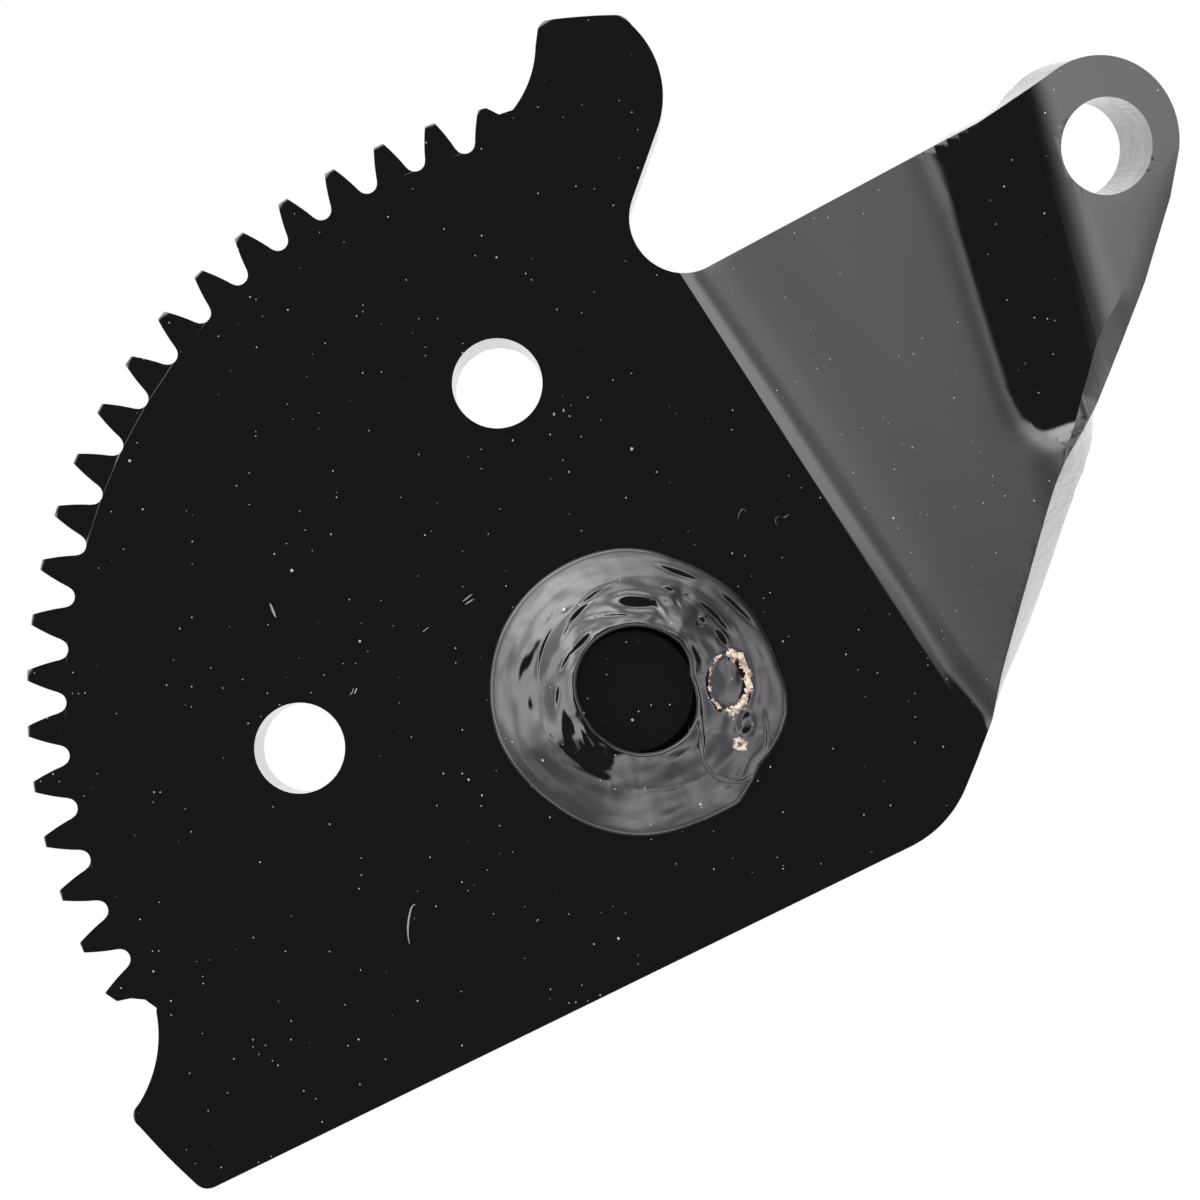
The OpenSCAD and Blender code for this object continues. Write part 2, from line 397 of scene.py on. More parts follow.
@dataclass
class SectorPlate(Part):
    """The toothed plate with its arm, cut flat and then bent three times.

    Places are those of the flat sheet. `drawn_in` says how far the arm's back edge is drawn in, or
    bulged out, by its distance past the first bend's line. The facet along the arm's lower right
    side lies between `facet_low` and `facet_high`, and `facet_slopes` says how steep it is, by the
    distance past the second bend's line. No place of the arm lies further than `arm_breadth`
    along the first bend's line.
    """

    name: str = "plate"
    record_slot: str = "black_paint"
    teeth: Teeth = field(default_factory=Teeth)
    fold_low: Vector = field(default_factory=lambda: Vector((42.18, -8.25)))
    fold_high: Vector = field(default_factory=lambda: Vector((3.54, 52.03)))
    recess_centre: Vector = field(default_factory=lambda: Vector((6.48, 58.23)))
    recess_radius: float = 6.86
    eye_centre: Vector = field(default_factory=lambda: Vector((60.56, 66.09)))
    eye_radius: float = 9.75
    eye_hole: Vector = field(default_factory=lambda: Vector((61.395, 65.555)))
    hole_circle: float = 41.275
    hole_angles: tuple[float, float] = (113.7, 189.7)
    bottom_angle: float = 25.97
    side_angle: float = 67.45
    bottom_point: Vector = field(default_factory=lambda: Vector((-9.91, -40.33)))
    facet_low: Vector = field(default_factory=lambda: Vector((55.0, 29.4)))
    facet_high: Vector = field(default_factory=lambda: Vector((70.25, 65.6)))
    facet_slopes: Pairs = ((6, 26), (9, 25), (10.5, 22), (12.5, 15), (14.5, 9), (17, 6), (30, 6))
    drawn_in: Pairs = (
        (-3, 0), (2, 1.2), (4, 2.3), (5, 2.65), (6, 2.83), (7, 2.8), (8, 2.55), (9, 2.3), (11, 2.0),
        (13, 1.74), (15, 1.5), (18, 1.26), (21, 1.1), (24, 0.82), (25.7, 0.39), (26.7, -0.16),
        (28, -0.98), (29.4, -1.81), (30.8, -2.58), (32.3, -2.9), (35.2, -2.7), (37, -2.6),
        (38.5, -2.2), (41, -1.2), (44, 0), (60, 0),
    )
    arm_breadth: float = 75.0
    edge_round: float = 0.28
    wall_cuts: int = 5
    longest_step: float = 1.6
    same_point: float = 0.02

    @cached_property
    def rise(self) -> Bend:
        """The first bend, which lifts the arm toward the viewer and has a creased inside."""
        direction = bearing(self.fold_high - self.fold_low) - 90
        rows = (
            (-4.3, ((0.6, 0), (1.6, 11), (2.6, 24), (5.0, 37), (8.0, 42), (12.0, 41.3), (16.0, 40.8))),
            (-1.4, ((0.6, 0), (1.6, 9), (2.4, 24), (4.0, 34), (7.0, 42), (12.0, 41.5), (16.0, 40.8))),
            (3.6, (
                (1.1, 0), (1.6, 17), (1.9, 13), (2.5, 8), (3.2, 15), (4.4, 27), (7.0, 41), (9.0, 42),
                (14.0, 40.9),
            )),
        )
        alike = (
            (10.7, ((2.5, 18), (3.3, 24), (4.5, 30), (6.2, 41.8), (9.0, 41.4))),
            (21.5, ((3.0, 18.5), (3.9, 28), (5.2, 41.8), (7.0, 42.2), (9.5, 41.4))),
            (35.8, ((2.7, 18.5), (3.6, 28), (5.4, 41.8), (7.2, 42.3), (9.5, 41.5))),
            (50.0, ((2.7, 18.5), (3.6, 28), (5.0, 42.2), (6.8, 42.8), (9.5, 41.6))),
            (68.0, ((2.3, 18.5), (3.1, 28), (4.4, 42.8), (6.4, 43.4), (9.5, 41.8))),
        )
        for along, inside in alike:
            rows += ((along, ((1.1, 0), (1.6, 17.5)) + inside + ((14.0, 40.8),)),)
        return Bend(tuple(self.fold_low), direction, 40.55, 8.0, Turn.UP, rows, reach=22.0)

    @cached_property
    def crown(self) -> Bend:
        """The second bend, which turns the arm back and starts late at the arm's lower right side."""
        rows = tuple(
            (along, self.crown_angles(start, turned))
            for along, start, turned in (
                (-11.0, 1.6, 8.4), (-8.0, 1.2, 7.6), (-7.4, 0.8, 6.4), (-6.3, 0.5, 5.2), (-4.0, 0.0, 4.0),
                (-0.5, -0.5, 3.1), (8.5, -1.0, 2.95), (22.0, -1.7, 2.95), (28.0, -2.3, 1.9),
            )
        )
        return Bend((45.965, 38.464), 14.33, 30.54, 10.8, Turn.DOWN, rows, first=-2.8, tied_from=-3.4)

    def crown_angles(self, start: float, turned: float) -> Pairs:
        """Angles across the second bend, which does most of its turn between two places."""
        span = turned - start
        shares = (
            (0, 0), (0.11, 1.5), (0.28, 5), (0.47, 9.5), (0.66, 14), (0.83, 18.5), (1, 22.3), (1.18, 24.3),
        )
        rest = ((max(9.0, turned + 1.5), 25.5), (12.5, 30.54))
        return tuple((start + span * a, b) for a, b in shares) + rest

    @cached_property
    def tip(self) -> Bend:
        """The third bend, which tips the pad with the hole."""
        start = Vector(self.crown.start) + polar(self.crown.run + 4.64, self.crown.direction)
        return Bend(tuple(start), self.crown.direction, 17.31, 24.0, Turn.DOWN)

    def lobe(self) -> list[Vector]:
        """The lobe at the top, clockwise from the last tooth to the recess."""
        return (
            arc((-25.32, 79.80), 13.39, -37.7, -1.3, 14)
            + fillet(Vector((-11.9, 79.5)), Vector((-11.55, 82.65)), Vector((-7, 83.16)), 1.5, 6)
            + arc((0, 0), 83.45, 96.4, 92.6, 5)
            + fillet(Vector((-4, 83.35)), Vector((-1.2, 83.42)), Vector((0.6, 81.5)), 2, 6)
            + arc((-8.34, 73.27), 12.14, 46, -16.4, 20)
        )

    def upper_side(self) -> list[Vector]:
        """The recess and the arm's upper left side, up to the rounded end."""
        angle = bearing(self.fold_high - self.recess_centre) % 360
        return (
            arc(self.recess_centre, self.recess_radius, 160.3, angle, 14)[:-1]
            + [self.fold_high]
            + arc(self.recess_centre, self.recess_radius, angle, 295.9, 10)[1:]
            + [Vector((42.6, 67.4)), Vector((46.3, 69.05))]
        )

    def eye(self) -> list[Vector]:
        """The rounded end of the arm, clockwise."""
        return arc(self.eye_centre, self.eye_radius, 125, -8, 32)

    def lower_side(self) -> list[Vector]:
        """The arm's lower right side, from the rounded end down to the first bend."""
        sheared = [
            (68.95, 59.3), (65.4, 49.9), (61.1, 40.8), (59.0, 36.2), (57.35, 33.35), (55.6, 30.6),
            (54.15, 27.5), (53.0, 24.3), (45.6, 2.8), (44.55, -0.9), (43.95, -3.5),
        ]
        return [Vector(p) for p in sheared] + [self.fold_low]

    def bottom(self) -> list[Vector]:
        """The lower right corner, the bottom edge and the scooped notch at the left."""
        corner = line_cross(self.bottom_point, self.bottom_angle, self.fold_low, self.side_angle)
        left = Vector((-52.1, -60.88))
        return (
            fillet(self.fold_low, corner, self.bottom_point, 13.9, 16)
            + fillet(self.bottom_point, left, Vector((-53.4, -59.55)), 2, 6)
            + arc((0, 0), 80, 228.0, 221.8, 6)
            + fillet(Vector((-59.6, -53.3)), Vector((-61.1, -51.95)), Vector((-60.2, -49.9)), 1.6, 6)
            + arc((-73.3, -42.0), 15.55, -31, 11, 12)
        )

    def outline(self) -> list[Vector]:
        """The whole flat outline, clockwise, with no point twice and no long straight steps."""
        ragged = [Vector(p) for p in ((-58.0, -38.58), (-59.42, -37.57), (-61.13, -37.41), (-62.83, -37.76))]
        last = [Vector(p) for p in ((-18.01, 71.84), (-16.42, 71.04))]
        path = (
            ragged + self.teeth.edge() + last + self.lobe() + self.upper_side()
            + self.eye() + self.lower_side() + self.bottom()
        )
        clean = path[:1]
        for p in path[1:] + path[:1]:
            gap = p - clean[-1]
            if gap.length < self.same_point:
                continue
            steps = max(1, round(gap.length / self.longest_step))
            clean += [clean[-1] + gap * (i / steps) for i in range(1, steps + 1)]
        return clean[:-1]

    def holes(self) -> list[tuple[Vector, float]]:
        """Centre and radius of each round hole in the flat sheet."""
        bolt_holes = [(polar(self.hole_circle, a), HOLE_RADIUS) for a in self.hole_angles]
        return bolt_holes + [(Vector((0, 0)), HEAD_RADIUS), (self.eye_hole, HOLE_RADIUS)]

    def facet_edge(self) -> list[Vector]:
        """Inner edge of the facet along the arm's lower right side, from its low end to its high end."""
        places = (
            (55.37, 31.64), (56.02, 33.05), (56.45, 34.6), (57.2, 37.3), (57.86, 39.35), (58.4, 41.1),
            (59.15, 43.4), (60.1, 45.4), (61.6, 47.4), (62.9, 49.6), (64.1, 53.4), (65.0, 55.4),
            (66.7, 59.0), (68.2, 62.6),
        )
        return [Vector(p) for p in places]

    def blank(self) -> bmesh.types.BMesh:
        """The flat blank's front face with its holes, cut across where the bends come."""
        bm = bmesh.new()
        outline = self.outline()
        rim = [bm.verts.new((p.x, p.y, PLATE_THICKNESS)) for p in outline]
        facet = [bm.verts.new((p.x, p.y, PLATE_THICKNESS)) for p in self.facet_edge()]
        low, high = (
            min(range(len(rim)), key=lambda i: (outline[i] - end).length)
            for end in (self.facet_low, self.facet_high)
        )
        edges = [bm.edges.new((a, b)) for a, b in zip(rim, rim[1:] + rim[:1])]
        seam = [rim[low]] + facet + [rim[high]]
        seam_edges = [bm.edges.new((a, b)) for a, b in zip(seam, seam[1:])]
        side = edges[high:low]
        rest = edges[:high] + edges[low:]
        for centre, radius in self.holes():
            place = Matrix.Translation((centre.x, centre.y, PLATE_THICKNESS))
            ring = bmesh.ops.create_circle(bm, segments=64, radius=radius, matrix=place)["verts"]
            rest += list({e for v in ring for e in v.link_edges})
        for loop in (rest + seam_edges, side + seam_edges):
            bmesh.ops.triangle_fill(bm, edges=loop, use_beauty=True, normal=(0, 0, 1))
        self.cut_bands(bm)
        return bm

    def cut_bands(self, bm: bmesh.types.BMesh) -> None:
        """Cut the blank into a fine net where it is bent: first across the arm, then along it."""
        bands = (
            (self.rise, [0, 0.6] + ladder(0.85, 0.25, 25) + ladder(7.25, 0.5, 31)),
            (self.crown, ladder(-2.8, 0.4, 33) + [11, 12, 13, 14]),
            (self.tip, [self.tip.run * i / 12 for i in range(13)]),
        )
        for bend, places in bands:
            for place in places:
                self.cut(bm, bend, place)
        for along in ladder(-6, 0.8, 24) + ladder(13.2, 3.0, 21):
            self.cut(bm, self.rise, along, True, lambda f: 0 < self.rise.past(f) < 14)
        for along in ladder(-12, 0.6, 22) + ladder(1.2, 2.2, 12):
            self.cut(bm, self.crown, along, True, self.near_crown)

    def near_crown(self, p: Vector) -> bool:
        """Whether a point of the flat sheet lies at the second bend, and clear of the first."""
        return -2 < self.crown.past(p) < 10 and self.rise.past(p) > 14

    def cut(
        self, bm: bmesh.types.BMesh, bend: Bend, place: float, lengthwise: bool = False,
        where: Callable[[Vector], bool] | None = None,
    ) -> None:
        """Cut the blank along a line parallel or square to a bend.

        Args:
            bm: the blank.
            bend: the bend.
            place: distance past the bend's line, or along it for a lengthwise cut.
            lengthwise: cut square to the bend's line.
            where: which faces to cut, by their middle.
        """
        direction = bend.direction + (90 if lengthwise else 0)
        foot = Vector(bend.start) + polar(place, direction)
        arm = [f for f in bm.faces if self.on_arm(f.calc_center_median())]
        faces = [f for f in arm if where is None or where(f.calc_center_median())]
        parts = set(faces) | {e for f in faces for e in f.edges} | {v for f in faces for v in f.verts}
        bmesh.ops.bisect_plane(
            bm, geom=list(parts), dist=1e-4, plane_co=foot.to_3d(), plane_no=polar(1, direction).to_3d(),
        )

    def on_arm(self, p: Vector) -> bool:
        """Whether a point of the flat sheet belongs to the arm, or to the plate just before it."""
        return self.rise.past(p) > -12 and self.rise.along(p) < self.arm_breadth

    def thicken(self, bm: bmesh.types.BMesh) -> None:
        """Give the blank its thickness, layer its walls and break its edges."""
        grown = bmesh.ops.extrude_face_region(bm, geom=bm.faces[:])
        moved = [g for g in grown["geom"] if isinstance(g, bmesh.types.BMVert)]
        bmesh.ops.translate(bm, vec=(0, 0, -PLATE_THICKNESS), verts=moved)
        bmesh.ops.recalc_face_normals(bm, faces=bm.faces[:])
        rims = [e for e in bm.edges if len(e.link_faces) == 2 and e.calc_face_angle(0.0) > 1.2]
        rims = [e for e in rims if abs(e.verts[0].co.z - e.verts[1].co.z) < 1e-4]
        bmesh.ops.bevel(
            bm, geom=rims, offset=self.edge_round, offset_type="OFFSET", segments=3, profile=0.5,
            affect="EDGES", material=-1, clamp_overlap=True,
        )
        for i in range(1, self.wall_cuts + 1):
            height = PLATE_THICKNESS * i / (self.wall_cuts + 1)
            bmesh.ops.bisect_plane(
                bm, geom=bm.verts[:] + bm.edges[:] + bm.faces[:], dist=1e-4,
                plane_co=(0, 0, height), plane_no=(0, 0, 1),
            )

    def pull_in(self, p: Vector) -> Vector:
        """Shift of a wall point of the arm's lower right side, where bending has drawn the back in or out."""
        past = self.rise.past(p)
        from_side = self.rise.along(p) - self.side_along(past)
        depth = (PLATE_THICKNESS - p.z) / PLATE_THICKNESS
        share = depth * (1 - smoothstep(1.0, 9.0, from_side))
        return polar(lerp_table(self.drawn_in, past) * share, self.rise.direction + 90)

    def side_along(self, past: float) -> float:
        """Where the arm's lower right side lies along the first bend's line, at a distance past it."""
        return lerp_table(self.side_table, past)

    @cached_property
    def side_table(self) -> Pairs:
        """The arm's lower right side as places along the first bend's line."""
        return tuple(sorted((self.rise.past(p), self.rise.along(p)) for p in self.lower_side()))

    def past_facet_edge(self, p: Vector) -> float:
        """How far a point lies within the facet's inner edge, toward the arm's lower right side."""
        edge = [self.facet_low] + self.facet_edge() + [Vector((70.3, 66.0)), Vector((70.3, 68.0))]
        reach = 100.0
        for a, b in zip(edge, edge[1:]):
            step = b - a
            share = min(1.0, max(0.0, (p.xy - a).dot(step) / step.length_squared))
            away = p.xy - (a + step * share)
            side = step.x * away.y - step.y * away.x
            if away.length < abs(reach):
                reach = -away.length if side > 0 else away.length
        return reach

    def facet_drop(self, p: Vector) -> float:
        """How far the facet along the arm's lower right side lies below the sheet's face."""
        reach = self.past_facet_edge(p) if p.x > 54 and p.y > 29 else 0.0
        if reach <= 0:
            return 0.0
        slope = lerp_table(self.facet_slopes, self.crown.past(p))
        return reach * math.tan(math.radians(slope)) * (1 - smoothstep(60, 66, p.y))

    def on_seam(self, edge: bmesh.types.BMEdge) -> bool:
        """Whether an edge of the flat sheet's front runs along the lower part of the facet's inner edge."""
        ends = [v.co for v in edge.verts]
        near = all(p.x > 54.5 and 29 < p.y < 53 and p.z > PLATE_THICKNESS - 0.01 for p in ends)
        return near and max(abs(self.past_facet_edge(p)) for p in ends) < self.same_point

    def bent(self, p: Vector) -> Vector:
        """Where a point of the flat sheet lies in the bent plate."""
        if self.rise.along(p) > self.arm_breadth or self.rise.past(p) < self.drawn_in[0][0]:
            return p.copy()
        shifted = p + self.pull_in(p).to_3d()
        shifted.z -= self.facet_drop(p) * p.z / PLATE_THICKNESS
        if self.rise.past(p) <= 0:
            return shifted
        return self.rise.shape(self.crown.shape(self.tip.shape(shifted)))

    def build(self, paint: "GlossPaint") -> bpy.types.Object:
        """Cut, thicken and bend the plate, and paint it."""
        bm = self.blank()
        self.thicken(bm)
        flat_place = bm.verts.layers.float_vector.new("sheet_place")
        for face in bm.faces:
            face.material_index = 1 if abs(face.normal.z) < 0.5 else 0
        for edge in bm.edges:
            if self.on_seam(edge):
                edge.smooth = False
        for vert in bm.verts:
            vert[flat_place] = vert.co * MM
            vert.co = self.bent(vert.co)
        piece = self.place(bm, [paint.material(), paint.cut_wall()], ["sector_plate"])
        weighted = piece.modifiers.new("even_faces", "WEIGHTED_NORMAL")
        weighted.weight = 100
        weighted.keep_sharp = True
        return piece


@dataclass(frozen=True)
class GlossPaint:
    """Thick gloss black paint with dust caught in it."""

    name: str = "gloss_black"
    colour: tuple[float, float, float] = (0.0045, 0.0045, 0.0047)
    dust: tuple[float, float, float] = (0.42, 0.41, 0.39)
    roughness: float = 0.07

    def base(self, name: str) -> tuple[bpy.types.Material, bpy.types.ShaderNodeBsdfPrincipled]:
        """A material with the paint's plain settings."""
        material, shader = plain_material(name, self.colour, self.roughness)
        shader.inputs["IOR"].default_value = 1.5
        shader.inputs["Coat Weight"].default_value = 1.0
        shader.inputs["Coat Roughness"].default_value = 0.04
        shader.inputs["Coat IOR"].default_value = 1.5
        return material, shader

    def material(self) -> bpy.types.Material:
        """The flat faces: a faint orange peel and specks of dust."""
        material, shader = self.base(self.name)
        nodes = NodeDesk(material)
        place = nodes.object_place()
        specks = nodes.dots(place, 600, 0.022, 0.95)
        fine = nodes.dots(place, 1300, 0.024, 0.86)
        both = nodes.math("MAXIMUM", specks, fine)
        colour = nodes.mix_colour(both, self.colour, self.dust)
        nodes.link(colour, shader.inputs["Base Color"])
        peel = nodes.noise(place, 260, 2.0)
        bumps = nodes.math("ADD", nodes.math("MULTIPLY", peel, 0.10), nodes.math("MULTIPLY", both, 0.5))
        nodes.bump(bumps, 0.00004, [shader.inputs["Normal"], shader.inputs["Coat Normal"]])
        return material

    def cut_wall(self) -> bpy.types.Material:
        """The cut walls: ridges that run through the sheet, in paint that shines more than it should.

        The refractive indices lie above paint's, to come near the photograph's brightness.
        """
        material, shader = self.base(self.name + "_cut_wall")
        shader.inputs["IOR"].default_value = 2.2
        shader.inputs["Coat IOR"].default_value = 2.3
        shader.inputs["Coat Roughness"].default_value = 0.12
        shader.inputs["Roughness"].default_value = 0.25
        nodes = NodeDesk(material)
        place = nodes.attribute_place("sheet_place")
        ridges = nodes.noise(nodes.stretch(place, (1, 1, 0.16)), 1500, 3.0)
        lumps = nodes.noise(place, 420, 2.0)
        pits = nodes.dots(nodes.stretch(place, (1, 1, 0.5)), 700, 0.22, 0.9)
        rough = nodes.math("ADD", nodes.math("MULTIPLY", ridges, 0.6), nodes.math("MULTIPLY", lumps, 0.5))
        rough = nodes.math("SUBTRACT", rough, nodes.math("MULTIPLY", pits, 0.6))
        nodes.bump(rough, 0.0003, [shader.inputs["Normal"], shader.inputs["Coat Normal"]])
        return material


@dataclass
class NodeDesk:
    """Short calls that add nodes to one material."""

    material: "bpy.types.Material | bpy.types.World"

    @property
    def nodes(self) -> bpy.types.Nodes:
        """The material's nodes."""
        return self.material.node_tree.nodes

    def link(self, source: Socket, target: Socket) -> None:
        """Join two sockets."""
        self.material.node_tree.links.new(source, target)

    def feed(self, value: Value, target: Socket) -> None:
        """Link a socket, or set a number."""
        if isinstance(value, Socket):
            self.link(value, target)
        else:
            target.default_value = value

    def object_place(self) -> Socket:
        """Object coordinates."""
        return self.nodes.new("ShaderNodeTexCoord").outputs["Object"]

    def attribute_place(self, name: str) -> Socket:
        """Coordinates kept in a vector attribute of the mesh."""
        node = self.nodes.new("ShaderNodeAttribute")
        node.attribute_name = name
        return node.outputs["Vector"]

    def stretch(self, place: Socket, scale: tuple[float, float, float]) -> Socket:
        """Scale coordinates along the axes."""
        node = self.nodes.new("ShaderNodeMapping")
        node.inputs["Scale"].default_value = scale
        self.link(place, node.inputs["Vector"])
        return node.outputs["Vector"]

    def noise(self, place: Socket, scale: float, detail: float) -> Socket:
        """Cloudy noise around 0.5."""
        node = self.nodes.new("ShaderNodeTexNoise")
        node.inputs["Scale"].default_value = scale
        node.inputs["Detail"].default_value = detail
        self.link(place, node.inputs["Vector"])
        return node.outputs["Fac"]

    def math(self, operation: str, a: Value, b: Value) -> Socket:
        """One arithmetic step."""
        node = self.nodes.new("ShaderNodeMath")
        node.operation = operation
        self.feed(a, node.inputs[0])
        self.feed(b, node.inputs[1])
        return node.outputs[0]

    def ramp(self, value: Socket, low: Value, high: Value) -> Socket:
        """Smooth step from 0 at low to 1 at high."""
        node = self.nodes.new("ShaderNodeMapRange")
        node.interpolation_type = "SMOOTHSTEP"
        self.feed(low, node.inputs["From Min"])
        self.feed(high, node.inputs["From Max"])
        self.link(value, node.inputs["Value"])
        return node.outputs["Result"]

    def curve(self, value: Socket, places: Sequence[tuple[float, float]]) -> Socket:
        """Value read from a curve through the given places."""
        node = self.nodes.new("ShaderNodeFloatCurve")
        self.link(value, node.inputs["Value"])
        points = node.mapping.curves[0].points
        points[0].location, points[1].location = places[0], places[-1]
        for place in places[1:-1]:
            points.new(*place)
        for point in points:
            point.handle_type = "VECTOR"
        node.mapping.update()
        return node.outputs[0]

    def dots(self, place: Socket, scale: float, radius: float, rarity: float) -> Socket:
        """Small round specks in a few of the cells of a grid.

        Args:
            place: coordinates.
            scale: cells to a metre.
            radius: radius of a speck, as a share of a cell.
            rarity: share of the cells that stay empty.

        Returns:
            1 inside a speck and 0 outside.
        """
        node = self.nodes.new("ShaderNodeTexVoronoi")
        node.inputs["Scale"].default_value = scale
        self.link(place, node.inputs["Vector"])
        split = self.nodes.new("ShaderNodeSeparateColor")
        self.link(node.outputs["Color"], split.inputs["Color"])
        chosen = self.math("GREATER_THAN", split.outputs["Red"], rarity)
        size = self.math("MULTIPLY", self.math("ADD", split.outputs["Green"], 0.4), radius * 4)
        inside = self.math("LESS_THAN", node.outputs["Distance"], size)
        return self.math("MULTIPLY", chosen, inside)

    def mix_colour(self, share: Socket, first: Sequence[float], second: Sequence[float]) -> Socket:
        """Mix of two colours."""
        node = self.nodes.new("ShaderNodeMix")
        node.data_type = "RGBA"
        self.link(share, node.inputs["Factor"])
        node.inputs["A"].default_value = (*first, 1)
        node.inputs["B"].default_value = (*second, 1)
        return node.outputs["Result"]

    def bump(self, height: Socket, distance: float, targets: Sequence[Socket]) -> None:
        """Bump the normals of a shader."""
        node = self.nodes.new("ShaderNodeBump")
        node.inputs["Strength"].default_value = 1.0
        node.inputs["Distance"].default_value = distance
        self.link(height, node.inputs["Height"])
        for target in targets:
            self.link(node.outputs["Normal"], target)


@dataclass(frozen=True)
class BareScale:
    """Unpainted weld scale, where the paint hasn't held."""

    name: str = "bare_scale"
    light: tuple[float, float, float] = (0.78, 0.68, 0.56)
    dark: tuple[float, float, float] = (0.33, 0.21, 0.14)

    def material(self) -> bpy.types.Material:
        """Blotchy tan scale."""
        material, shader = plain_material(self.name, self.dark, 0.55)
        nodes = NodeDesk(material)
        place = nodes.object_place()
        blotch = nodes.ramp(nodes.noise(place, 1400, 4.0), 0.38, 0.62)
        nodes.link(nodes.mix_colour(blotch, self.dark, self.light), shader.inputs["Base Color"])
        nodes.bump(nodes.noise(place, 2600, 3.0), 0.00015, [shader.inputs["Normal"]])
        return material


@dataclass(frozen=True)
class Flat:
    """A level patch in the weld's surface, longer one way and perhaps curved."""

    place: tuple[float, float]
    long: float
    short: float
    turn: float
    curve: float = 0.0

    def local(self, p: Vector) -> tuple[float, float]:
        """How far a point lies along the patch and across it, from its middle."""
        away = p - Vector(self.place)
        turn = math.radians(self.turn)
        along = away.x * math.cos(turn) + away.y * math.sin(turn)
        return along, -away.x * math.sin(turn) + away.y * math.cos(turn)

    def share(self, p: Vector) -> float:
        """1 in the middle of the patch, falling to 0 outside it."""
        along, across = self.local(p)
        across += self.curve * along * along
        return 1 - smoothstep(0.55, 1.35, math.hypot(along / self.long, across / self.short))

    def source(self, p: Vector) -> Vector:
        """Where the weld's height is read for a point: on the long line of the patch, or at its middle."""
        middle = Vector(self.place)
        if self.long <= 2 * self.short:
            return middle
        along, _ = self.local(p)
        turn = math.radians(self.turn)
        lead = middle + Vector((math.cos(turn), math.sin(turn))) * along
        return lead + Vector((math.sin(turn), -math.cos(turn))) * self.curve * along * along


